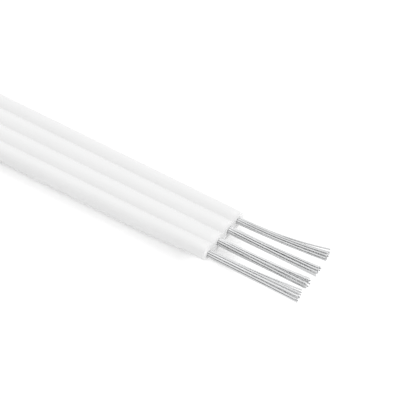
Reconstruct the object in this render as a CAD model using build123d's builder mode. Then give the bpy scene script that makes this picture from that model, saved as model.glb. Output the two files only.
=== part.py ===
from build123d import *

import os
from math import cos, pi, radians, sin, sqrt

# Flat four-core cable for an LED strip: four stranded conductors side by side in one white PVC
# extrusion, stripped at one end.
#
# The cable lies flat on the plane Z = floor_z.  The origin is the centre of the square-cut face
# of the insulation, the bare strands reach along +X, and the cores lie side by side along Y.
# Behind the laid stretch the cable twists on edge and runs tangent into a flat spiral coil that
# holds the rest of its length.  All sizes are in millimetres.

# --- Ribbon section -------------------------------------------------------------------------
core_count = 4
core_pitch = 1.70
cable_thickness = 1.65
groove_depth = 0.31
groove_fillet = 0.06

# --- Conductors -----------------------------------------------------------------------------
strand_diameter = 0.16
strand_gap = 0.010
inner_strands = 4
outer_strands = 10
bore_clearance = 0.015

# How far each conductor lies off the middle of its lobe, from the +Y core to the -Y core.
core_offsets = [0.0, 0.25, 0.21, 0.18]

# --- Lengths along the cable ----------------------------------------------------------------
cable_length = 1000.0
strip_length = 9.8
cut_unevenness = 0.14
laid_length = 28.0
twist_length = 28.0

# --- Coil and its tie -----------------------------------------------------------------------
coil_turns = 4
turn_pitch = 2.50
turn_edge_radius = 0.75
tie_width = 3.6
tie_thickness = 0.40
tie_clearance = 0.05
tie_corner = 0.80
tie_tail_length = 11.0
tie_tail_turns = 1.5

# How each core's strands open out past the cut face, from the +Y core to the -Y core:
# the turn of the strand layout in degrees, where the strands begin to bend, how far the whole
# bundle drifts across and up at its tip, and how many times wider and higher it is there.
core_fans = [
    {"turn": 27, "start": 0.2, "across": 0.63, "up": 0.35, "wider": 1.75, "higher": 1.60},
    {"turn": 40, "start": 0.6, "across": 0.05, "up": 0.15, "wider": 1.42, "higher": 1.35},
    {"turn": 12, "start": 0.6, "across": 0.08, "up": 0.14, "wider": 1.52, "higher": 1.42},
    {"turn": 27, "start": 0.3, "across": 0.10, "up": 0.10, "wider": 1.95, "higher": 1.70},
]

# Single strands that stand away from their bundle: (core, strand) and the extra offset of the
# tip, across and up.
stray_strands = {
    (1, 5): (0.10, 0.08),
    (2, 10): (-0.10, -0.06),
    (3, 6): (0.08, 0.12),
    (4, 5): (0.16, 0.14),
}

# --- Worked-out sizes -----------------------------------------------------------------------
cable_width = (core_count - 1) * core_pitch + cable_thickness
half_thickness = cable_thickness / 2
floor_z = -half_thickness
groove_height = half_thickness - groove_depth
core_centres = [((core_count - 1) / 2 - index) * core_pitch for index in range(core_count)]

bore_centres = [centre + offset for centre, offset in zip(core_centres, core_offsets)]

strand_radius = strand_diameter / 2
strand_spacing = strand_diameter + strand_gap
inner_ring = strand_spacing / (2 * sin(pi / inner_strands))
ring_offset = radians(9.0)
outer_ring = inner_ring * cos(ring_offset) + sqrt(
    strand_spacing**2 - (inner_ring * sin(ring_offset)) ** 2
)
bundle_radius = outer_ring + strand_radius
bore_radius = bundle_radius + bore_clearance

coil_x = -laid_length - twist_length
coil_mid_z = floor_z + cable_width / 2
coil_length = cable_length - strip_length - laid_length - twist_length
half_turns = 2 * coil_turns
outer_turn_radius = coil_length / (pi * half_turns) + (half_turns - 1) * turn_pitch / 4

os.makedirs("parts", exist_ok=True)


def write(part, name):
    """Labels a finished piece and writes it as a node of that name."""
    part.label = name
    export_step(part, f"parts/{name}.step")


def ribbon_section(plane, bores=False):
    """The cable's section: domed lobes that meet in V grooves, with half-round edges."""
    last_crest = (core_count - 1) / 2 * core_pitch
    groove_places = [-last_crest + (index + 0.5) * core_pitch for index in range(core_count - 1)]
    dome_radius = (core_pitch**2 / 4 + groove_depth**2) / (2 * groove_depth)
    grooves = [(place, groove_height) for place in groove_places]
    crests = [(place, half_thickness) for place in core_centres[::-1]]
    with BuildSketch(plane) as section:
        with BuildLine():
            CenterArc((-last_crest, 0), half_thickness, 90, 90)
            CenterArc((last_crest, 0), half_thickness, 0, 90)
            RadiusArc(crests[0], grooves[0], dome_radius)
            RadiusArc(grooves[-1], crests[-1], dome_radius)
            for start, crest, end in zip(grooves, crests[1:-1], grooves[1:]):
                ThreePointArc(start, crest, end)
            mirror(about=Plane.XZ)
        make_face()
        groove_corners = section.vertices().filter_by(
            lambda corner: abs(abs(corner.Y) - groove_height) < 1e-6
        )
        fillet(groove_corners, radius=groove_fillet)
        if bores:
            with Locations(*[(centre, 0) for centre in bore_centres]):
                Circle(bore_radius, mode=Mode.SUBTRACT)
    return section.sketch


def strand_layout(turn):
    """Where a core's strands lie round its centre: four inside, ten round them."""
    inner_step = 360 / inner_strands
    outer_step = 360 / outer_strands
    angles = [(inner_ring, radians(turn + step * inner_step)) for step in range(inner_strands)]
    first_outer = turn + 9.0
    angles += [
        (outer_ring, radians(first_outer + step * outer_step)) for step in range(outer_strands)
    ]
    return [(ring * cos(angle), ring * sin(angle)) for ring, angle in angles]


def spiral_wire(start_y, radius):
    """One turn of a spiral of two half circles, closed by its step; it starts at its top."""
    bottom_y = start_y - 2 * radius
    end_y = start_y - turn_pitch
    next_radius = radius - turn_pitch / 2
    ThreePointArc((coil_x, start_y), (coil_x - radius, start_y - radius), (coil_x, bottom_y))
    ThreePointArc(
        (coil_x, bottom_y), (coil_x + next_radius, bottom_y + next_radius), (coil_x, end_y)
    )
    Line((coil_x, end_y), (coil_x, start_y))


# --- Insulation: the laid stretch with its four bores ---------------------------------------
with BuildPart() as insulation:
    extrude(ribbon_section(Plane.YZ.offset(-laid_length), bores=True), amount=laid_length)
write(insulation.part, "insulation")

# --- Insulation: the stretch that twists on edge --------------------------------------------
# It rises as it rolls, so that its lower edge stays on the floor.
twist_steps = 8
twist_sections = []
for step in range(twist_steps + 1):
    share = step / twist_steps
    roll = radians(90 * share * share * (3 - 2 * share))
    twist_sections.append(
        ribbon_section(
            Plane(
                origin=(-laid_length - twist_length * share, 0, coil_mid_z * sin(roll)),
                x_dir=(0, cos(roll), sin(roll)),
                z_dir=(1, 0, 0),
            )
        )
    )
with BuildPart() as insulation_twist:
    loft(twist_sections)
write(insulation_twist.part, "insulation_twist")

# --- Insulation: the coil, as the outer shape of its turns ----------------------------------
# The turns bow in slightly under the tie, which lies flush with the floor.
inner_start_y = -half_thickness - (coil_turns - 1) * turn_pitch
inner_radius = outer_turn_radius - half_thickness - (coil_turns - 1) * turn_pitch
coil_outer_y = half_thickness - 2 * (outer_turn_radius + half_thickness)
coil_inner_y = inner_start_y - 2 * inner_radius
tied_depth = coil_inner_y - coil_outer_y
tied_height = cable_width - tie_thickness - tie_clearance
tie_centre_y = (coil_inner_y + coil_outer_y) / 2
tie_centre_z = floor_z + cable_width - tied_height / 2
with BuildPart() as insulation_coil:
    with BuildSketch(Plane.XY.offset(floor_z)):
        with BuildLine():
            spiral_wire(half_thickness, outer_turn_radius + half_thickness)
        make_face()
        with BuildLine():
            spiral_wire(inner_start_y, inner_radius)
        make_face(mode=Mode.SUBTRACT)
    extrude(amount=cable_width)
    fillet(insulation_coil.edges().filter_by(GeomType.CIRCLE), radius=turn_edge_radius)
    with BuildSketch(Plane.YZ.offset(coil_x - tie_width / 2 - tie_clearance)):
        with Locations((tie_centre_y, tie_centre_z)):
            Rectangle(tied_depth + 2 * turn_pitch, 2 * cable_width)
            RectangleRounded(
                tied_depth, tied_height, tie_corner - tie_clearance, mode=Mode.SUBTRACT
            )
    extrude(amount=tie_width + 2 * tie_clearance, mode=Mode.SUBTRACT)
write(insulation_coil.part, "insulation_coil")

# --- The tie round the coil's turns ---------------------------------------------------------
tie_inside_y = tied_depth + 2 * tie_clearance
tie_inside_z = tied_height + 2 * tie_clearance
tail_root_y = tie_centre_y + tie_inside_y / 2 + tie_thickness / 2
with BuildPart() as coil_tie:
    with BuildSketch(Plane.YZ.offset(coil_x - tie_width / 2)):
        with Locations((tie_centre_y, tie_centre_z)):
            RectangleRounded(
                tie_inside_y + 2 * tie_thickness,
                tie_inside_z + 2 * tie_thickness,
                tie_corner + tie_thickness,
            )
            RectangleRounded(tie_inside_y, tie_inside_z, tie_corner, mode=Mode.SUBTRACT)
    extrude(amount=tie_width)
    tail_steps = int(12 * tie_tail_turns)
    with BuildPart(mode=Mode.PRIVATE) as tail:
        for step in range(tail_steps + 1):
            turned = 2 * pi * tie_tail_turns * step / tail_steps
            place = tail_root_y + tie_tail_length * step / tail_steps
            with BuildSketch(
                Plane(
                    origin=(coil_x, place, tie_centre_z),
                    x_dir=(cos(turned), 0, sin(turned)),
                    z_dir=(0, 1, 0),
                )
            ):
                Rectangle(tie_width, 2 * tie_thickness)
        loft(ruled=True)
    add(tail.part)
write(coil_tie.part, "coil_tie")

# --- Conductors: bare tinned strands --------------------------------------------------------
for core, (centre, fan) in enumerate(zip(bore_centres, core_fans), start=1):
    for number, (across, up) in enumerate(strand_layout(fan["turn"]), start=1):
        stray = stray_strands.get((core, number), (0.0, 0.0))
        root = Vector(-laid_length, centre + across, up)
        bend = Vector(fan["start"], centre + across, up)
        tip = Vector(
            strip_length - cut_unevenness * abs(sin(3.7 * number + core)),
            centre + across * fan["wider"] + fan["across"] + stray[0],
            up * fan["higher"] + fan["up"] + stray[1],
        )
        with BuildPart() as strand:
            with BuildLine() as run:
                Line(root, bend)
                TangentArc(bend, tip, tangent=(1, 0, 0))
            with BuildSketch(Plane(origin=root, z_dir=(1, 0, 0))):
                Circle(strand_radius)
            sweep(path=run.wire())
        write(strand.part, f"core_{core}_strand_{number:02d}")

print("coil: first half turn", round(outer_turn_radius, 2), "mm radius on the centreline")
print("coil: middle of the turns", round(coil_length / (pi * coil_turns), 1), "mm across")
print("bundle", round(2 * bundle_radius, 3), "mm across, cable", round(cable_width, 2), "mm wide")
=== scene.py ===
import math

import bmesh
import bpy
from bpy.props import FloatProperty, FloatVectorProperty, IntProperty, PointerProperty
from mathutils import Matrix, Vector


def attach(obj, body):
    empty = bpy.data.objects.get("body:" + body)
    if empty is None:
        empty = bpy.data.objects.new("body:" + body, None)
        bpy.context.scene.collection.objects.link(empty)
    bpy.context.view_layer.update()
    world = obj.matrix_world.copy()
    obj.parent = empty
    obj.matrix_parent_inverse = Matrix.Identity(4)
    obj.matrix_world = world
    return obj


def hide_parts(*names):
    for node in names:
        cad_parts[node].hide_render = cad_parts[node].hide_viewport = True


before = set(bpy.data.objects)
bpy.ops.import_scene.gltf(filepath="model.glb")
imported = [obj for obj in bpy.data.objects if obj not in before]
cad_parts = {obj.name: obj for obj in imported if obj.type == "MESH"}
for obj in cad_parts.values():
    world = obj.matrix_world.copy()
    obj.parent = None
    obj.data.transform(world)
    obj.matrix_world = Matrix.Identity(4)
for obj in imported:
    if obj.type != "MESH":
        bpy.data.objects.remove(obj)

bl_info = {
    "name": "LED strip cable",
    "version": (1, 0, 0),
    "blender": (4, 5, 0),
    "location": "View3D > Sidebar > LED cable",
    "description": "Flat four-core LED strip cable, stripped at one end and coiled at the other",
    "category": "Object",
}

MM = 0.001

# Control points of the cable's line, in millimetres from the middle of its cut face: the
# stretch that lies flat, then the one that rises on its edge.
LAID_ROUTE = [
    (0, 0, 0),
    (-2.5, 0, 0),
    (-5, 0, 0),
    (-11, 0, 0),
    (-19, 0, 0),
    (-26, 0, 0),
    (-30, 0, 0.06),
]
RISING_ROUTE = [
    (-33.5, 0, 0.40),
    (-37, 0, 0.95),
    (-40.5, 0, 1.56),
    (-44, 0, 2.08),
    (-47.3, 0, 2.39),
    (-50.53, 0, 2.52),
]

# Control points in one turn of the coil, and steps of the line between two of them.
TURN_POINTS = 24
LINE_STEPS = 6

# How finely round shapes are divided.
CREST_STEPS = 12
EDGE_STEPS = 14
BORE_SIDES = 28
STRAND_SIDES = 14
STRAND_POINTS = 72
RIB_STEPS = 8
CORNER_STEPS = 8
TAIL_STEPS = 48

# The curl of the ribbon's -Y edge begins at this share of the half width, and is whole over
# this share of its length, next to the cut face.
CURL_START = 0.27
CURL_WHOLE = 0.2

# To each side of the tie's middle, the turns are fully drawn in over the first of these, as
# shares of its width, and come back to their own height over the second.
TIE_HOLD = 0.9
TIE_RELEASE = 0.75

# Rounding of the ribbon's two rims, and depth of its bores at the cut face and the far end.
RIM_ROUND = 0.03 * MM
CUT_BORE_DEPTH = 0.1 * MM
FAR_BORE_DEPTH = 1.0 * MM

# The bare strands begin this deep in their bores and are at their loosest this far out.  At
# the far end they stop this far behind the face and reach this far in.
ROOT_DEPTH = 0.08 * MM
LOOSENING = 0.8 * MM
FAR_TIP_DEPTH = 0.02 * MM
FAR_ROOT_DEPTH = 0.9 * MM

# The angle by which the outer strands lead the inner ones round a core's middle.
OUTER_LEAD = math.radians(9)

# The way across a bundle, in Y and Z, from its dark side to its bright one, along which
# the painted shade of its bottom strands is measured.
BRIGHT_WAY = (0.81, 0.59)

# How far each conductor lies off the middle of its lobe, from the +Y core, in millimetres.
CORE_OFFSETS = [0.0, 0.25, 0.21, 0.18]

# How each core's strands lie past the cut face, from the +Y core to the -Y core: the turn of
# the layout, how many times wider than in its bore the bundle lies once it is out, the turn
# by which it twists over its length, where it begins to bend and where to open, how much
# shorter it is cut, its drift across and up at the tip, and how many times wider and higher
# it is there.  Turns are in degrees and lengths in millimetres.
CORE_FANS = [
    {
        "Turn": 27,
        "Loose": 0.97,
        "Twist": 12,
        "Bend start": 0.2,
        "Open start": 2.2,
        "Short": 0.2,
        "Across": 0.57,
        "Up": 0.33,
        "Wider": 1.64,
        "Higher": 1.48,
    },
    {
        "Turn": 40,
        "Loose": 1.10,
        "Twist": 20,
        "Bend start": 0.6,
        "Open start": 0.6,
        "Short": 0.0,
        "Across": 0.09,
        "Up": 0.15,
        "Wider": 1.47,
        "Higher": 1.35,
    },
    {
        "Turn": 12,
        "Loose": 1.16,
        "Twist": 36,
        "Bend start": 0.6,
        "Open start": 0.6,
        "Short": 0.0,
        "Across": 0.08,
        "Up": 0.15,
        "Wider": 1.60,
        "Higher": 1.42,
    },
    {
        "Turn": 27,
        "Loose": 1.16,
        "Twist": 8,
        "Bend start": 0.3,
        "Open start": 0.3,
        "Short": -0.12,
        "Across": 0.04,
        "Up": 0.07,
        "Wider": 1.75,
        "Higher": 1.50,
    },
]

# The one strand of each core that stands away: its number, and its tip's offset across and
# up, in millimetres.
STRAY_STRANDS = [(5, 0.20, 0.15), (10, -0.10, -0.06), (6, 0.08, 0.12), (5, 0.16, 0.14)]

# Inputs of the conductor's node tree, each with its kind and default.
CONDUCTOR_INPUTS = [
    ("Inner strands", "NodeSocketInt", 4),
    ("Outer strands", "NodeSocketInt", 10),
    ("Strand diameter", "NodeSocketFloat", 0.16 * MM),
    ("Inner ring", "NodeSocketFloat", 0.12 * MM),
    ("Outer ring", "NodeSocketFloat", 0.288 * MM),
    ("Centre", "NodeSocketFloat", 0.0),
    ("Turn", "NodeSocketFloat", 0.0),
    ("Root", "NodeSocketFloat", -ROOT_DEPTH),
    ("Tip", "NodeSocketFloat", 9.8 * MM),
    ("Unevenness", "NodeSocketFloat", 0.14 * MM),
    ("Bend start", "NodeSocketFloat", 1.0 * MM),
    ("Open start", "NodeSocketFloat", 1.0 * MM),
    ("Loose", "NodeSocketFloat", 1.0),
    ("Twist", "NodeSocketFloat", 0.0),
    ("Across", "NodeSocketFloat", 0.0),
    ("Up", "NodeSocketFloat", 0.0),
    ("Wider", "NodeSocketFloat", 1.5),
    ("Higher", "NodeSocketFloat", 1.5),
    ("Waviness", "NodeSocketFloat", 0.03 * MM),
    ("Stray strand", "NodeSocketInt", 5),
    ("Stray across", "NodeSocketFloat", 0.0),
    ("Stray up", "NodeSocketFloat", 0.0),
    ("Seed", "NodeSocketFloat", 0.0),
    ("Far end", "NodeSocketVector", (0.0, 0.0, 0.0)),
]


def length_property(name, description, millimetres):
    """A length setting, kept in metres."""
    return FloatProperty(
        name=name,
        description=description,
        default=millimetres * MM,
        min=0,
        precision=5,
        unit="LENGTH",
    )


def colour_property(name, description, colour):
    """A colour setting, kept as plain red, green and blue shares."""
    return FloatVectorProperty(
        name=name, description=description, default=colour, min=0, max=1, subtype="COLOR"
    )


class CableSettings(bpy.types.PropertyGroup):
    """Sizes and colour of the insulated ribbon, and sizes of its coil."""

    cores: IntProperty(
        name="Cores",
        description="Number of cores side by side",
        default=4,
        min=1,
        max=len(CORE_FANS),
    )
    core_pitch: length_property("Core pitch", "Distance from core to core", 1.70)
    thickness: length_property("Thickness", "Thickness of the ribbon over a core", 1.65)
    groove_depth: length_property("Groove depth", "Depth of the grooves between cores", 0.31)
    groove_fillet: length_property("Groove fillet", "Radius at the foot of a groove", 0.06)
    bore: length_property("Bore", "Diameter of the hole a core lies in", 0.765)
    laid_length: length_property("Laid length", "Length that lies flat", 28)
    twist_length: length_property("Twist length", "Length over which the ribbon rises", 28)
    insulated_length: length_property("Insulated length", "Length of the insulation", 990.2)
    coil_turns: IntProperty(name="Coil turns", description="Turns in the coil", default=4, min=1)
    turn_pitch: length_property("Turn pitch", "Distance from turn to turn", 2.5)
    curl: length_property("Curl", "How far the cut end's -Y edge lifts off the table", 0.40)
    curl_length: length_property("Curl length", "Length over which that edge lifts", 7.5)
    skew: length_property("Skew", "How far the cut face stands out at its +Y edge", 0.15)
    colour: colour_property(
        "Insulation colour", "Colour of the insulation at its lightest", (0.84, 0.84, 0.84)
    )


class StrandSettings(bpy.types.PropertyGroup):
    """Sizes and colour of the bare stranded conductors."""

    diameter: length_property("Strand diameter", "Diameter of one strand", 0.16)
    gap: length_property("Strand gap", "Space between neighbouring strands", 0.01)
    inner: IntProperty(
        name="Inner strands", description="Strands in the middle", default=4, min=3
    )
    outer: IntProperty(name="Outer strands", description="Strands round those", default=10, min=3)
    strip_length: length_property("Strip length", "Length of the bare strands", 9.8)
    unevenness: length_property("Unevenness", "How far the tips differ in length", 0.14)
    waviness: length_property("Waviness", "How far a strand strays from its line", 0.03)
    colour: colour_property(
        "Strand colour", "Colour of the strands at their brightest", (0.9306, 0.9353, 0.94)
    )


class TieSettings(bpy.types.PropertyGroup):
    """Sizes and colour of the tie round the coil."""

    width: length_property("Tie width", "Width of the tie's strip", 3.6)
    thickness: length_property("Tie thickness", "Thickness of the tie over its wire", 0.40)
    web: length_property("Web thickness", "Thickness of the tie beside its wire", 0.16)
    rib: length_property("Rib width", "Width of the rib over the tie's wire", 0.90)
    clearance: length_property("Clearance", "Space between the tie and the turns", 0.05)
    corner: length_property("Corner radius", "Radius of the tie's bends", 0.80)
    tail_length: length_property("Tail length", "Length of the twisted ends", 11)
    tail_turns: FloatProperty(name="Tail turns", description="Turns of the ends", default=1.5)
    colour: colour_property(
        "Tie colour", "Colour of the tie at its lightest", (0.82, 0.82, 0.8077)
    )


class StageSettings(bpy.types.PropertyGroup):
    """Camera, light and colour of the table."""

    azimuth: FloatProperty(
        name="Azimuth",
        description="Side the camera looks from",
        default=math.radians(33),
        unit="ROTATION",
    )
    elevation: FloatProperty(
        name="Elevation",
        description="Camera's height above the horizon",
        default=math.radians(49),
        unit="ROTATION",
    )
    distance: length_property("Distance", "Camera's distance from the cut face", 700)
    view_width: length_property("View width", "Width of what the camera sees", 37.04)
    aim_left: length_property("Aim to the left", "How far left of the cut face it aims", 2.10)
    aim_above: length_property("Aim above", "How far above the cut face it aims", 3.45)
    sky: FloatProperty(name="Sky", description="Strength of the light all round", default=0.92)
    key: FloatProperty(name="Key light", description="Power of the soft key in watts", default=1.1)
    fill: FloatProperty(
        name="Fill light", description="Power of the end light in watts", default=0.5
    )
    table: colour_property(
        "Table colour", "Colour of the table at its lightest", (0.94, 0.94, 0.94)
    )


class Value:
    """One output of a node tree, which takes part in sums with others and with numbers."""

    def __init__(self, tree, socket):
        self.tree = tree
        self.socket = socket

    def maths(self, operation, *others):
        return self.tree.maths(operation, self, *others)

    def clamped(self):
        return self.maths("MAXIMUM", 0.0).maths("MINIMUM", 1.0)

    def ramp(self, start, end):
        """Nought at start and before it, one at end and past it, and even between them."""
        return ((self - start) / (end - start)).clamped()

    def __add__(self, other):
        return self.maths("ADD", other)

    def __sub__(self, other):
        return self.maths("SUBTRACT", other)

    def __mul__(self, other):
        return self.maths("MULTIPLY", other)

    def __truediv__(self, other):
        return self.maths("DIVIDE", other)

    def __radd__(self, other):
        return self.tree.maths("ADD", other, self)

    def __rsub__(self, other):
        return self.tree.maths("SUBTRACT", other, self)

    def __rmul__(self, other):
        return self.tree.maths("MULTIPLY", other, self)

    def __rtruediv__(self, other):
        return self.tree.maths("DIVIDE", other, self)


class Tree:
    """A node tree as it is written."""

    def __init__(self, nodes):
        self.nodes = nodes

    def node(self, kind, inputs=None, output=0, **settings):
        """Adds a node, sets it, fills its inputs by name or number and gives back an output."""
        made = self.nodes.nodes.new(kind)
        for name, value in settings.items():
            setattr(made, name, value)
        for key, given in (inputs or {}).items():
            for value in given if isinstance(given, list) else [given]:
                if isinstance(value, Value):
                    self.nodes.links.new(value.socket, made.inputs[key])
                else:
                    made.inputs[key].default_value = value
        return Value(self, made.outputs[output]) if made.outputs else made

    def maths(self, operation, *terms):
        return self.node("ShaderNodeMath", dict(enumerate(terms)), operation=operation)

    def vector(self, x, y, z):
        return self.node("ShaderNodeCombineXYZ", {"X": x, "Y": y, "Z": z})

    def axis(self, vector, name):
        return self.node("ShaderNodeSeparateXYZ", {"Vector": vector}, output=name)

    def noise(self, vector, scale, detail):
        """Even noise; on a vector in metres, its scale is in grains to the metre."""
        inputs = {"Vector": vector, "Scale": scale, "Detail": detail}
        return self.node("ShaderNodeTexNoise", inputs)

    def shades(self, colour, darkest, share):
        """The colour where share is one, and only the darkest part of it where share is nought."""
        dark = [part * darkest for part in colour]
        return self.node(
            "ShaderNodeMix",
            {0: share, 6: (*dark, 1), 7: (*colour, 1)},
            output=2,
            data_type="RGBA",
            clamp_factor=False,
        )

    def attribute(self, name):
        """A number kept on the mesh, for a material."""
        return self.node("ShaderNodeAttribute", output="Fac", attribute_name=name)

    def entry(self, name):
        """One of the tree's own inputs."""
        return self.node("NodeGroupInput", output=name)

    def stored(self, geometry, name, value):
        """The geometry with a number kept at each of its points."""
        return self.node(
            "GeometryNodeStoreNamedAttribute",
            {"Geometry": geometry, "Name": name, "Value": value},
            data_type="FLOAT",
            domain="POINT",
        )


def new_material(name):
    """A material and its tree, which is empty."""
    material = bpy.data.materials.new(name)
    material.use_nodes = True
    material.node_tree.nodes.clear()
    return material, Tree(material.node_tree)


def finish_material(tree, inputs):
    """Ends a material in one shader with those inputs."""
    shader = tree.node("ShaderNodeBsdfPrincipled", inputs)
    tree.node("ShaderNodeOutputMaterial", {"Surface": shader})


def direct_rays(tree):
    """One for rays from the camera, or off or through a shiny piece, and nought for others."""
    kinds = ("Is Camera Ray", "Is Glossy Ray", "Is Transmission Ray")
    seen, shiny, through = (tree.node("ShaderNodeLightPath", output=kind) for kind in kinds)
    return (seen + shiny + through).maths("MINIMUM", 1.0)


def insulation_material(colour):
    """Satin PVC with faint lines along it; the cut face is duller.

    The cut face is painted lighter, and painted to glow faintly near its bottom, where shade
    falls.
    """
    material, tree = new_material("white_pvc")
    place = tree.node("ShaderNodeUVMap", uv_map="UVMap")
    along, around = tree.axis(place, "X"), tree.axis(place, "Y")
    lines = tree.noise(tree.vector(along * 60.0, around * 7000.0, 0.0), 1.0, 3.0)
    cloud = tree.noise(tree.vector(along * 220.0, around * 500.0, 3.0), 1.0, 2.0)
    skin = lines * 0.5 + cloud * 0.5
    cut = tree.attribute("cut")
    # Painted light: how far past the insulation's lightest colour the cut face is painted.
    cut_painted_light = 2.7
    height = tree.axis(tree.node("ShaderNodeTexCoord", output="Object"), "Z")
    # Painted light: a faint glow on the cut face, strongest at its bottom, where shade falls.
    painted_glow_mask = height.ramp(0.15 * MM, -0.45 * MM)
    bump = tree.node(
        "ShaderNodeBump",
        {"Strength": 0.25, "Distance": 0.02 * MM, "Height": lines + cloud * 1.5},
    )
    finish_material(
        tree,
        {
            # The cut face's lighter colour is painted light.
            "Base Color": tree.shades(colour, 0.9405, skin + cut * (cut_painted_light - skin)),
            "Roughness": 0.36 + cloud * 0.14 + cut * 0.2,
            # Painted glow at the bottom of the cut face.
            "Emission Color": tree.shades((0.08, 0.08, 0.08), 0.0, cut * painted_glow_mask),
            "Emission Strength": 1.0,
            "Normal": bump,
        },
    )
    return material


def strand_material(colour):
    """Bright tinned copper, each strand in a tone of its own, with fine marks along it.

    Painted light makes the roots paler, duller and less metallic, least on the -Y core, in
    place of light from the white cut face, and painted shade darkens the strands at the
    bottom of a bundle towards their roots.
    """
    material, tree = new_material("tinned_copper")
    names = ("strand", "core", "along", "above")
    strand, core, along, above = (tree.attribute(name) for name in names)
    tone = tree.noise(tree.vector(strand * 1.73, core * 2.9, 0.0), 5.0, 0.0)
    marks = tree.noise(tree.vector(along * 260.0, strand * 3.1, core), 1.0, 1.5)
    distance = along.maths("ABSOLUTE")
    # Painted light: the roots paler, duller and less metallic, least on the -Y core.
    root = distance.ramp(1.3 * MM, 0.0) * core.ramp(4.7, 2.7)
    # Painted shade: strands at a bundle's bottom darker, fading out 11 mm past the cut face.
    painted_shade_below = above.ramp(0.2, -0.8) * distance.ramp(11.0 * MM, 0.0)
    shade = 0.1 + tone * 0.56 + marks * 0.4 + root * 0.25 - painted_shade_below * 0.46
    finish_material(
        tree,
        {
            "Base Color": tree.shades(colour, 0.5745, shade),
            "Metallic": 1.0 - root * 0.5,
            "Roughness": 0.22 + marks * 0.16 + root * 0.3,
        },
    )
    return material


def tie_material(colour):
    """Satin plastic strip."""
    material, tree = new_material("tie_plastic")
    grain = tree.noise(tree.node("ShaderNodeTexCoord", output="Object"), 900.0, 3.0)
    bump = tree.node("ShaderNodeBump", {"Strength": 0.3, "Distance": 0.04 * MM, "Height": grain})
    finish_material(
        tree,
        {
            "Base Color": tree.shades(colour, 0.9024, grain),
            "Roughness": 0.42 + grain * 0.16,
            "Normal": bump,
        },
    )
    return material


def floor_material(colour):
    """A table that keeps the shadow.

    To the camera it glows a little all over, which keeps it white; the stronger glow in front
    of the cut face and beside its -Y corner is painted light that washes out the shadow there.
    """
    material, tree = new_material("white_floor")
    place = tree.node("ShaderNodeTexCoord", output="Object")
    grain = tree.noise(place, 60.0, 2.0)
    board = tree.node(
        "ShaderNodeBsdfDiffuse",
        {"Color": tree.shades(colour, 0.9894, grain), "Roughness": 0.5},
    )
    glow = tree.node("ShaderNodeEmission", {"Color": (1, 1, 1, 1), "Strength": 1.3})
    x, y = tree.axis(place, "X"), tree.axis(place, "Y")
    # Painted light that washes out the shadow in front of the cut face and beside its -Y corner.
    painted_light_front = (x + y * 0.45).ramp(-0.35 * MM, 3.55 * MM)
    beside = x.ramp(-2.4 * MM, 0.2 * MM) * y.ramp(-2.2 * MM, -2.9 * MM)
    glow_and_painted_light = direct_rays(tree) * (0.3 + painted_light_front.maths("MAXIMUM", beside) * 0.5)
    mixed = tree.node("ShaderNodeMixShader", {0: glow_and_painted_light, 1: board, 2: glow})
    tree.node("ShaderNodeOutputMaterial", {"Surface": mixed})
    return material


def new_object(name, data):
    """An object in the scene that shows that data."""
    made = bpy.data.objects.new(name, data)
    bpy.context.scene.collection.objects.link(made)
    return made


def evaluated_mesh(source):
    """The mesh that an object's curve or node tree gives."""
    bpy.context.view_layer.update()
    evaluated = source.evaluated_get(bpy.context.evaluated_depsgraph_get())
    mesh = bpy.data.meshes.new_from_object(evaluated)
    if not mesh.vertices:
        raise RuntimeError(f"{source.name} came out empty")
    return mesh


def smooth(mesh, sharp):
    """Smooths a mesh, but for its edges that turn by more than that many degrees."""
    mesh.shade_smooth()
    mesh.set_sharp_from_angle(angle=math.radians(sharp))


def ride_piece(piece, material, nodes):
    """Gives a piece its material, hangs it on the root body and hides the CAD nodes it stands for.
    """
    piece.data.materials.clear()
    piece.data.materials.append(material)
    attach(piece, "root")
    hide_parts(*nodes)
    return piece


def finish_piece(bm, name, material, nodes, sharp):
    """Turns a finished bmesh into a piece, with its faces outward and smoothed."""
    bmesh.ops.recalc_face_normals(bm, faces=bm.faces)
    mesh = bpy.data.meshes.new(name)
    bm.to_mesh(mesh)
    bm.free()
    smooth(mesh, sharp)
    return ride_piece(new_object(name, mesh), material, nodes)


def eased(share):
    """A share held between nought and one, with a soft start and end."""
    share = min(1.0, max(0.0, share))
    return share * share * (3 - 2 * share)


def last_core(cable):
    """Distance from the ribbon's middle to the middle of its outermost core."""
    return (cable.cores - 1) / 2 * cable.core_pitch


def half_width(cable):
    return last_core(cable) + cable.thickness / 2


def core_centres(cable):
    """Where the ribbon's lobes lie across it, from the +Y one on."""
    return [((cable.cores - 1) / 2 - core) * cable.core_pitch for core in range(cable.cores)]


def bore_centres(cable):
    """Where the bores lie across it, each a little off the middle of its lobe."""
    return [centre + offset * MM for centre, offset in zip(core_centres(cable), CORE_OFFSETS)]


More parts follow.
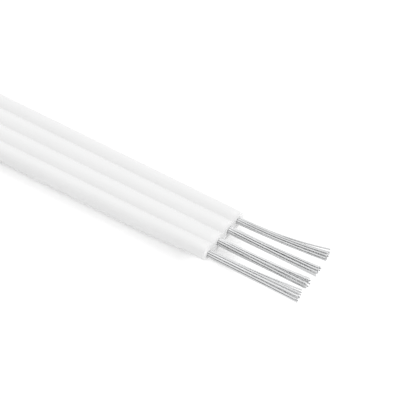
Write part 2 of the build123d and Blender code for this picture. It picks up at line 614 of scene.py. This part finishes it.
def ribbon_outline(cable):
    """The ribbon's section, anticlockwise round its middle, as (across, up) points."""
    half = cable.thickness / 2
    pitch = cable.core_pitch
    depth = cable.groove_depth
    fillet = cable.groove_fillet
    dome = (pitch * pitch / 4 + depth * depth) / (2 * depth)
    slope = math.asin(pitch / 2 / dome)
    reach = math.asin((pitch / 2 - fillet * math.sin(slope)) / dome)
    foot = half - depth + fillet / math.cos(slope)
    top = []
    for core, crest in enumerate(core_centres(cable)):
        first = reach if core else 0.0
        last = -reach if core < cable.cores - 1 else 0.0
        steps = CREST_STEPS if first and last else CREST_STEPS // 2
        for step in range(steps + 1):
            angle = first + (last - first) * step / steps
            top.append((crest + dome * math.sin(angle), half - dome * (1 - math.cos(angle))))
        if core < cable.cores - 1:
            groove = crest - pitch / 2
            for share in (0.6, 0.2, -0.2, -0.6):
                angle = slope * share
                top.append((groove + fillet * math.sin(angle), foot - fillet * math.cos(angle)))
    edge = [math.radians(-90 + 180 * step / EDGE_STEPS) for step in range(1, EDGE_STEPS)]
    right = [(last_core(cable) + half * math.cos(a), half * math.sin(a)) for a in edge]
    left = [(-across, -up) for across, up in right]
    bottom = [(across, -up) for across, up in reversed(top)]
    return right + top + left + bottom


def outline_lengths(outline):
    """Distance round the outline at each of its points, and the whole way round."""
    lengths = [0.0]
    for here, there in zip(outline, outline[1:] + outline[:1]):
        lengths.append(lengths[-1] + math.dist(here, there))
    return lengths


def coil_x(cable):
    """Where along X the coil begins, which is also where its middle lies."""
    return -cable.laid_length - cable.twist_length


def coil_end(cable):
    """Middle of the section at the cable's far end."""
    return Vector((coil_x(cable), -cable.coil_turns * cable.turn_pitch, last_core(cable)))


def half_turn_radius(cable):
    """Radius of the coil's first half turn, on the cable's line."""
    half_turns = 2 * cable.coil_turns
    length = cable.insulated_length - cable.laid_length - cable.twist_length
    return length / (math.pi * half_turns) + (half_turns - 1) * cable.turn_pitch / 4


def cable_route(cable):
    """Control points of the cable's line, in metres."""
    route = [Vector(point) * MM for point in LAID_ROUTE + RISING_ROUTE]
    first = half_turn_radius(cable)
    step = 2 * math.pi / TURN_POINTS
    for number in range(TURN_POINTS * cable.coil_turns):
        half_turn = number // (TURN_POINTS // 2)
        radius = (first - half_turn * cable.turn_pitch / 2) / math.cos(step / 2)
        middle = Vector(
            (coil_x(cable), -first - (half_turn % 2) * cable.turn_pitch / 2, last_core(cable))
        )
        angle = math.pi / 2 + (number + 0.5) * step
        route.append(middle + radius * Vector((math.cos(angle), math.sin(angle), 0)))
    return [*route, coil_end(cable)]


def line_points(route):
    """Points along the smooth line that the control points give."""
    curve = bpy.data.curves.new("cable_line", "CURVE")
    curve.dimensions = "3D"
    spline = curve.splines.new("NURBS")
    spline.points.add(len(route) - 1)
    for point, place in zip(spline.points, route):
        point.co = (*place, 1.0)
    spline.order_u = 3
    spline.use_endpoint_u = True
    spline.resolution_u = LINE_STEPS
    holder = new_object("cable_line", curve)
    mesh = evaluated_mesh(holder)
    points = [vertex.co.copy() for vertex in mesh.vertices]
    bpy.data.objects.remove(holder)
    bpy.data.curves.remove(curve)
    bpy.data.meshes.remove(mesh)
    return points


def ribbon_stations(cable, tie, points):
    """Where the section stands along the line: its place, its ways, its squeeze and distance."""
    stations = []
    distance = 0.0
    for number, point in enumerate(points):
        before = points[max(number - 1, 0)]
        after = points[min(number + 1, len(points) - 1)]
        distance += (point - before).length
        along = (after - before).normalized()
        level = along.cross(Vector((0, 0, 1))).normalized()
        upright = level.cross(along)
        roll = math.radians(90) * eased((distance - cable.laid_length) / cable.twist_length)
        squeeze = 0.0
        if point.y < -half_turn_radius(cable):
            beyond = abs(point.x - coil_x(cable)) / tie.width - TIE_HOLD
            squeeze = eased(1 - beyond / TIE_RELEASE) * (tie.thickness + tie.clearance)
        stations.append(
            {
                "place": point + Vector((0, 0, squeeze / 2)),
                "along": along,
                "sideways": level * math.cos(roll) + upright * math.sin(roll),
                "upward": upright * math.cos(roll) - level * math.sin(roll),
                "squeeze": squeeze,
                "distance": distance,
            }
        )
    return stations


def curl_lift(cable, distance, across):
    """How far the ribbon lifts near its cut face, towards its -Y edge."""
    aside = (-across / half_width(cable) - CURL_START) / (1 - CURL_START)
    near = (1 - distance / cable.curl_length) / (1 - CURL_WHOLE)
    return cable.curl * max(0.0, aside) * eased(near)


def cut_reach(cable, across):
    """How far the cut face stands out there, since the cut isn't quite square."""
    return cable.skew * max(0.0, across / half_width(cable)) ** 2


def place_in(station, across, up, inward):
    """A point of the section at a station, moved inward along the line."""
    return (
        station["place"]
        + station["sideways"] * across
        + station["upward"] * up
        + station["along"] * inward
    )


def ribbon_ring(bm, cable, outline, station, inset, inward, skewed):
    """The section's outline at a station, drawn in by the inset and moved inward."""
    shrink = 1 - station["squeeze"] / (2 * half_width(cable))
    flat = 1 - inset / half_width(cable)
    thin = 1 - inset / (cable.thickness / 2)
    ring = []
    for across, up in outline:
        lift = curl_lift(cable, station["distance"], across)
        reach = cut_reach(cable, across) if skewed else 0.0
        there = (across * shrink * flat, up * thin + lift, inward - reach)
        ring.append(bm.verts.new(place_in(station, *there)))
    return ring


def add_bores(bm, rim, station, cable, depth, skewed):
    """Closes an end of the ribbon with a flat face round its open bores."""
    edges = [bm.edges.get((here, there)) for here, there in zip(rim, rim[1:] + rim[:1])]
    for centre in bore_centres(cable):
        rings = []
        for inward in (0.0, depth):
            ring = []
            for side in range(BORE_SIDES):
                angle = 2 * math.pi * side / BORE_SIDES
                across = centre + cable.bore / 2 * math.cos(angle)
                up = cable.bore / 2 * math.sin(angle)
                reach = cut_reach(cable, across) if skewed else 0.0
                ring.append(bm.verts.new(place_in(station, across, up, inward - reach)))
            rings.append(ring)
        mouth, floor = rings
        for side in range(BORE_SIDES):
            after = (side + 1) % BORE_SIDES
            bm.faces.new((mouth[side], mouth[after], floor[after], floor[side]))
            edges.append(bm.edges.get((mouth[side], mouth[after])))
        bm.faces.new(floor)
    cut = bm.faces.layers.float["cut"]
    for made in bmesh.ops.triangle_fill(bm, edges=edges, use_beauty=True)["geom"]:
        if isinstance(made, bmesh.types.BMFace):
            made[cut] = 1.0


def build_ribbon(cable, tie):
    """The insulation as one tube along the cable's line."""
    points = line_points(cable_route(cable))
    stations = ribbon_stations(cable, tie, points)
    outline = ribbon_outline(cable)
    around = outline_lengths(outline)
    bm = bmesh.new()
    uv = bm.loops.layers.uv.new("UVMap")
    bm.faces.layers.float.new("cut")
    rings = []
    distances = []
    for number, station in enumerate(stations):
        insets = [(0.0, 0.0)]
        if number == 0:
            insets = [(RIM_ROUND, 0.0), (0.0, RIM_ROUND)]
        if number == len(stations) - 1:
            insets = [(0.0, -RIM_ROUND), (RIM_ROUND, 0.0)]
        for inset, inward in insets:
            ring = ribbon_ring(bm, cable, outline, station, inset, inward, skewed=number == 0)
            rings.append(ring)
            distances.append(station["distance"] + inward)
    count = len(outline)
    for number, (here, there) in enumerate(zip(rings, rings[1:])):
        near, far = distances[number], distances[number + 1]
        for side in range(count):
            after = (side + 1) % count
            face = bm.faces.new((here[side], there[side], there[after], here[after]))
            left, right = around[side], around[side + 1]
            corners = ((near, left), (far, left), (far, right), (near, right))
            for loop, corner in zip(face.loops, corners):
                loop[uv].uv = corner
    far_station = dict(stations[-1], along=-stations[-1]["along"])
    add_bores(bm, rings[0], stations[0], cable, CUT_BORE_DEPTH, skewed=True)
    add_bores(bm, rings[-1], far_station, cable, FAR_BORE_DEPTH, skewed=False)
    material = insulation_material(cable.colour)
    nodes = ("insulation", "insulation_twist", "insulation_coil")
    ribbon = finish_piece(bm, "ribbon", material, nodes, sharp=48)
    [tuple(point) for point in points]
    return ribbon


def strand_layout(tree):
    """A point for each strand round the core's middle, numbered from the inner ring on."""
    index = tree.node("GeometryNodeInputIndex")
    rings = []
    for count, radius, lead, first in (
        ("Inner strands", "Inner ring", 0.0, 1.0),
        ("Outer strands", "Outer ring", OUTER_LEAD, tree.entry("Inner strands") + 1.0),
    ):
        ring = tree.node(
            "GeometryNodeMeshCircle", {"Vertices": tree.entry(count), "Radius": tree.entry(radius)}
        )
        turned = tree.vector(0.0, 0.0, tree.entry("Turn") + lead)
        ring = tree.node("GeometryNodeTransform", {"Geometry": ring, "Rotation": turned})
        rings.append(tree.stored(ring, "strand", index + first))
    layout = tree.node("GeometryNodeJoinGeometry", {"Geometry": rings})
    spot = tree.node("GeometryNodeInputPosition")
    standing = tree.vector(0.0, tree.axis(spot, "X"), tree.axis(spot, "Y"))
    layout = tree.node("GeometryNodeSetPosition", {"Geometry": layout, "Position": standing})
    # How far each strand lies towards the bright side, kept for the painted shade of its bundle.
    bright_y, bright_z = BRIGHT_WAY
    above = tree.axis(spot, "Y") * bright_y + tree.axis(spot, "Z") * bright_z
    return tree.stored(layout, "above", above / tree.entry("Outer ring"))


def straight_strands(tree, layout, start, end, points):
    """The strands as straight lines from start to end, each of that many points."""
    line = tree.node(
        "GeometryNodeCurvePrimitiveLine",
        {"Start": tree.vector(start, 0.0, 0.0), "End": tree.vector(end, 0.0, 0.0)},
    )
    line = tree.node("GeometryNodeResampleCurve", {"Curve": line, "Count": points})
    strands = tree.node("GeometryNodeInstanceOnPoints", {"Points": layout, "Instance": line})
    return tree.node("GeometryNodeRealizeInstances", {"Geometry": strands})


def opened_place(tree):
    """Where a point of a strand goes as the bundle twists, loosens, opens, bends and wavers."""
    entry = tree.entry
    strand = tree.node("GeometryNodeInputNamedAttribute", {"Name": "strand"}, data_type="FLOAT")
    straight = tree.node("GeometryNodeInputPosition")
    x, flat_across, flat_up = (tree.axis(straight, name) for name in "XYZ")
    full = (x - entry("Root")) / (entry("Tip") - entry("Root"))
    free = (x / entry("Tip")).maths("MAXIMUM", 0.0)
    shorter = (strand * 3.7 + entry("Seed")).maths("SINE").maths("ABSOLUTE") * entry("Unevenness")

    twist = free * entry("Twist")
    cosine, sine = twist.maths("COSINE"), twist.maths("SINE")
    across = flat_across * cosine - flat_up * sine
    up = flat_across * sine + flat_up * cosine

    def growth(start):
        share = ((x - start) / (entry("Tip") - start)).maths("MAXIMUM", 0.0)
        return share * share

    bend = growth(entry("Bend start"))
    opening = growth(entry("Open start"))
    loose = 1.0 + (entry("Loose") - 1.0) * x.ramp(0.0, LOOSENING)
    is_stray = strand.maths("COMPARE", entry("Stray strand"), 0.1)
    wave_place = tree.vector(x * 260.0, strand * 5.3, entry("Seed") * 7.1)
    waves = tree.node(
        "ShaderNodeTexNoise", {"Vector": wave_place, "Scale": 1.0, "Detail": 1.0}, output="Color"
    )

    def spread(widening):
        return loose + (entry(widening) - 1.0) * opening

    def drift(way, stray):
        return (entry(way) + is_stray * entry(stray)) * bend

    def wave(channel):
        return (tree.axis(waves, channel) - 0.5) * entry("Waviness") * free * 2.0

    return tree.vector(
        x - shorter * full,
        entry("Centre") + across * spread("Wider") + drift("Across", "Stray across") + wave("X"),
        up * spread("Higher") + drift("Up", "Stray up") + wave("Y"),
    )


def build_conductor_tree(material):
    """Node tree for one core: strands round its middle that open out past the cut face."""
    group = bpy.data.node_groups.new("conductor", "GeometryNodeTree")
    for name, kind, default in CONDUCTOR_INPUTS:
        socket = group.interface.new_socket(name=name, in_out="INPUT", socket_type=kind)
        socket.default_value = default
    group.interface.new_socket(name="Mesh", in_out="OUTPUT", socket_type="NodeSocketGeometry")
    tree = Tree(group)
    layout = strand_layout(tree)
    bare = straight_strands(tree, layout, tree.entry("Root"), tree.entry("Tip"), STRAND_POINTS)
    bare = tree.node(
        "GeometryNodeSetPosition", {"Geometry": bare, "Position": opened_place(tree)}
    )
    flush = straight_strands(tree, layout, FAR_TIP_DEPTH, FAR_ROOT_DEPTH, 2)
    beside = tree.vector(0.0, tree.entry("Centre"), 0.0)
    flush = tree.node("GeometryNodeSetPosition", {"Geometry": flush, "Offset": beside})
    flush = tree.node(
        "GeometryNodeTransform",
        {
            "Geometry": flush,
            "Translation": tree.entry("Far end"),
            "Rotation": (math.radians(90), 0.0, 0.0),
        },
    )
    lines = tree.node("GeometryNodeJoinGeometry", {"Geometry": [bare, flush]})
    along = tree.axis(tree.node("GeometryNodeInputPosition"), "X")
    lines = tree.stored(lines, "along", along)
    lines = tree.stored(lines, "core", tree.entry("Seed"))
    profile = tree.node(
        "GeometryNodeCurvePrimitiveCircle",
        {"Resolution": STRAND_SIDES, "Radius": tree.entry("Strand diameter") * 0.5},
    )
    solid = tree.node(
        "GeometryNodeCurveToMesh",
        {"Curve": lines, "Profile Curve": profile, "Fill Caps": True},
    )
    solid = tree.node("GeometryNodeRealizeInstances", {"Geometry": solid})
    solid = tree.node("GeometryNodeSetMaterial", {"Geometry": solid, "Material": material})
    tree.node("NodeGroupOutput", {"Mesh": solid})
    return group


def set_inputs(modifier, values):
    """Sets a nodes modifier's inputs by their names."""
    sockets = {
        item.name: item.identifier
        for item in modifier.node_group.interface.items_tree
        if item.item_type == "SOCKET" and item.in_out == "INPUT"
    }
    for name, value in values.items():
        modifier[sockets[name]] = value


def bundle_rings(strands):
    """Radii of the rings of strands that leave the gap between neighbours."""
    spacing = strands.diameter + strands.gap
    inner = spacing / (2 * math.sin(math.pi / strands.inner))
    beside = inner * math.sin(OUTER_LEAD)
    return inner, inner * math.cos(OUTER_LEAD) + math.sqrt(spacing**2 - beside**2)


def build_conductor(cable, strands, core, group, material):
    """One core's bare strands, and their flush ends at the cable's far end."""
    fan = CORE_FANS[core]
    inner_ring, outer_ring = bundle_rings(strands)
    stray, stray_across, stray_up = STRAY_STRANDS[core]
    values = {
        "Inner strands": strands.inner,
        "Outer strands": strands.outer,
        "Strand diameter": strands.diameter,
        "Inner ring": inner_ring,
        "Outer ring": outer_ring,
        "Centre": bore_centres(cable)[core],
        "Turn": math.radians(fan["Turn"]),
        "Tip": strands.strip_length - fan["Short"] * MM,
        "Unevenness": strands.unevenness,
        "Bend start": fan["Bend start"] * MM,
        "Open start": fan["Open start"] * MM,
        "Loose": fan["Loose"],
        "Twist": math.radians(fan["Twist"]),
        "Across": fan["Across"] * MM,
        "Up": fan["Up"] * MM,
        "Wider": fan["Wider"],
        "Higher": fan["Higher"],
        "Waviness": strands.waviness,
        "Stray strand": stray,
        "Stray across": stray_across * MM,
        "Stray up": stray_up * MM,
        "Seed": float(core + 1),
        "Far end": tuple(coil_end(cable)),
    }
    name = f"core_{core + 1}"
    piece = new_object(name, bpy.data.meshes.new(name))
    modifier = piece.modifiers.new("conductor", "NODES")
    modifier.node_group = group
    set_inputs(modifier, values)
    mesh = evaluated_mesh(piece)
    piece.modifiers.clear()
    piece.data = mesh
    smooth(mesh, sharp=50)
    numbers = range(1, strands.inner + strands.outer + 1)
    nodes = [f"{name}_strand_{number:02d}" for number in numbers]
    return ride_piece(piece, material, nodes)


def strip_profile(tie):
    """The tie's strip in section, flat side down: (sideways, outward)."""
    half = tie.width / 2
    points = [(-half, 0.0), (half, 0.0), (half, tie.web)]
    for step in range(RIB_STEPS + 1):
        angle = math.pi * step / RIB_STEPS
        lift = math.sin(angle) ** 0.8 if 0 < step < RIB_STEPS else 0.0
        outward = tie.web + (tie.thickness - tie.web) * lift
        points.append((tie.rib / 2 * math.cos(angle), outward))
    points.append((-half, tie.web))
    return points


def add_sweep(bm, profile, places, closed):
    """A tube of that profile through places, each a middle, a sideways and an outward way."""
    rings = []
    for middle, sideways, outward in places:
        rings.append([bm.verts.new(middle + sideways * a + outward * b) for a, b in profile])
    pairs = list(zip(rings, rings[1:]))
    if closed:
        pairs.append((rings[-1], rings[0]))
    count = len(profile)
    for here, there in pairs:
        for side in range(count):
            after = (side + 1) % count
            bm.faces.new((here[side], here[after], there[after], there[side]))
    if not closed:
        bm.faces.new(rings[0])
        bm.faces.new(rings[-1])


def band_places(tie, middle, half_y, half_z):
    """The strip's places round the turns: a box whose rounded corners have those middles."""
    places = []
    for quarter, (sign_y, sign_z) in enumerate(((1, 1), (-1, 1), (-1, -1), (1, -1))):
        corner = middle + Vector((0, sign_y * half_y, sign_z * half_z))
        for step in range(CORNER_STEPS + 1):
            angle = math.radians(90 * quarter + 90 * step / CORNER_STEPS)
            outward = Vector((0, math.cos(angle), math.sin(angle)))
            places.append((corner + outward * tie.corner, Vector((1, 0, 0)), outward))
    return places


def tail_places(tie, root, side):
    """The places of one of the two ends, which turn about each other along +Y."""
    places = []
    for step in range(TAIL_STEPS + 1):
        share = step / TAIL_STEPS
        angle = 2 * math.pi * tie.tail_turns * share
        sideways = Vector((math.cos(angle), 0, math.sin(angle)))
        outward = Vector((-math.sin(angle), 0, math.cos(angle))) * side
        places.append((root + Vector((0, tie.tail_length * share, 0)), sideways, outward))
    return places


def build_tie(cable, tie):
    """The wire-cored strip round the turns, with its two ends twisted together."""
    outer_y = -2 * half_turn_radius(cable) - cable.thickness / 2
    inner_y = outer_y + cable.thickness + (cable.coil_turns - 1) * cable.turn_pitch
    width = 2 * half_width(cable)
    squeezed = width - tie.thickness - tie.clearance
    middle_z = -cable.thickness / 2 + width - squeezed / 2
    middle = Vector((coil_x(cable), (outer_y + inner_y) / 2, middle_z))
    half_y = (inner_y - outer_y) / 2 + tie.clearance - tie.corner
    half_z = squeezed / 2 + tie.clearance - tie.corner
    root = middle + Vector((0, half_y + tie.corner + tie.thickness / 2, 0))
    profile = strip_profile(tie)
    bm = bmesh.new()
    add_sweep(bm, profile, band_places(tie, middle, half_y, half_z), closed=True)
    for side in (1, -1):
        add_sweep(bm, profile, tail_places(tie, root, side), closed=False)
    material = tie_material(tie.colour)
    return finish_piece(bm, "coil_tie_strip", material, ("coil_tie",), sharp=35)


def add_camera(stage):
    """The camera, at its distance from a point beside the cut face."""
    azimuth, elevation = stage.azimuth, stage.elevation
    back = Vector(
        (
            math.sin(azimuth) * math.cos(elevation),
            -math.cos(azimuth) * math.cos(elevation),
            math.sin(elevation),
        )
    )
    right = Vector((math.cos(azimuth), math.sin(azimuth), 0))
    above = back.cross(right)
    target = above * stage.aim_above - right * stage.aim_left
    camera_data = bpy.data.cameras.new("camera")
    camera_data.sensor_width = 36
    camera_data.lens = camera_data.sensor_width * stage.distance / stage.view_width
    camera_data.clip_start = 0.01
    camera_data.clip_end = 20
    camera = new_object("camera", camera_data)
    camera.location = target + back * stage.distance
    camera.rotation_euler = back.to_track_quat("Z", "Y").to_euler()
    bpy.context.scene.camera = camera


def add_floor(height, colour):
    """The table, as a wide square at that height."""
    bm = bmesh.new()
    bmesh.ops.create_grid(bm, x_segments=1, y_segments=1, size=1.5)
    bmesh.ops.translate(bm, verts=bm.verts, vec=(0, 0, height))
    mesh = bpy.data.meshes.new("floor")
    bm.to_mesh(mesh)
    bm.free()
    mesh.materials.append(floor_material(colour))
    new_object("floor", mesh)


def add_light(name, power, size, place):
    """A round soft light at a place, turned to the origin."""
    data = bpy.data.lights.new(name, "AREA")
    data.shape = "DISK"
    data.size = size
    data.energy = power
    light = new_object(name, data)
    light.location = place
    light.rotation_euler = light.location.to_track_quat("Z", "Y").to_euler()


def add_sky(strength):
    """White light all round, which the camera sees at full white."""
    world = bpy.data.worlds.new("sky")
    world.use_nodes = True
    world.node_tree.nodes.clear()
    tree = Tree(world.node_tree)
    seen = strength + direct_rays(tree) * (1.0 - strength)
    sky = tree.node("ShaderNodeBackground", {"Color": (1, 1, 1, 1), "Strength": seen})
    tree.node("ShaderNodeOutputWorld", {"Surface": sky})
    bpy.context.scene.world = world


def build_stage(cable, stage):
    """Camera, table, sky and two soft lights."""
    add_camera(stage)
    add_floor(-cable.thickness / 2 - 0.005 * MM, stage.table)
    add_light("key", stage.key, 0.5, (0.06, 0.42, 0.62))
    add_light("fill", stage.fill, 0.3, (0.70, 0.05, 0.20))
    add_sky(stage.sky)
    bpy.context.scene.view_settings.view_transform = "Standard"


class LEDCABLE_OT_stage(bpy.types.Operator):
    """Set up the camera, the table and the light"""

    bl_idname = "led_cable.stage"
    bl_label = "Stage"

    def execute(self, context):
        build_stage(context.scene.led_cable, context.scene.led_stage)
        return {"FINISHED"}


class LEDCABLE_OT_ribbon(bpy.types.Operator):
    """Lay the insulated ribbon along its line, from the cut face to the coil's end"""

    bl_idname = "led_cable.ribbon"
    bl_label = "Insulated ribbon"

    def execute(self, context):
        build_ribbon(context.scene.led_cable, context.scene.led_tie)
        return {"FINISHED"}


class LEDCABLE_OT_conductors(bpy.types.Operator):
    """Make the stranded conductors of all cores"""

    bl_idname = "led_cable.conductors"
    bl_label = "Conductors"

    def execute(self, context):
        cable, strands = context.scene.led_cable, context.scene.led_strands
        material = strand_material(strands.colour)
        group = build_conductor_tree(material)
        for core in range(cable.cores):
            build_conductor(cable, strands, core, group, material)
        bpy.data.node_groups.remove(group)
        return {"FINISHED"}


class LEDCABLE_OT_tie(bpy.types.Operator):
    """Wrap the tie round the coil's turns"""

    bl_idname = "led_cable.tie"
    bl_label = "Coil tie"

    def execute(self, context):
        build_tie(context.scene.led_cable, context.scene.led_tie)
        return {"FINISHED"}


SETTINGS = {
    "led_cable": CableSettings,
    "led_strands": StrandSettings,
    "led_tie": TieSettings,
    "led_stage": StageSettings,
}
OPERATORS = (LEDCABLE_OT_stage, LEDCABLE_OT_ribbon, LEDCABLE_OT_conductors, LEDCABLE_OT_tie)


class LEDCABLE_PT_panel(bpy.types.Panel):
    """Buttons, sizes and colours of the LED cable"""

    bl_idname = "LEDCABLE_PT_panel"
    bl_label = "LED strip cable"
    bl_space_type = "VIEW_3D"
    bl_region_type = "UI"
    bl_category = "LED cable"

    def draw(self, context):
        for operator in OPERATORS:
            self.layout.operator(operator.bl_idname)
        for group_name, settings in SETTINGS.items():
            column = self.layout.column()
            for name in settings.__annotations__:
                column.prop(getattr(context.scene, group_name), name)


def register():
    for made in (*SETTINGS.values(), *OPERATORS, LEDCABLE_PT_panel):
        bpy.utils.register_class(made)
    for name, settings in SETTINGS.items():
        setattr(bpy.types.Scene, name, PointerProperty(type=settings))


def unregister():
    for name in SETTINGS:
        delattr(bpy.types.Scene, name)
    for made in (LEDCABLE_PT_panel, *reversed(OPERATORS), *SETTINGS.values()):
        bpy.utils.unregister_class(made)


def main():
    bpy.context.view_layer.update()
    register()
    bpy.ops.led_cable.stage()
    bpy.ops.led_cable.ribbon()
    bpy.ops.led_cable.conductors()
    bpy.ops.led_cable.tie()


if __name__ == "__main__":
    main()
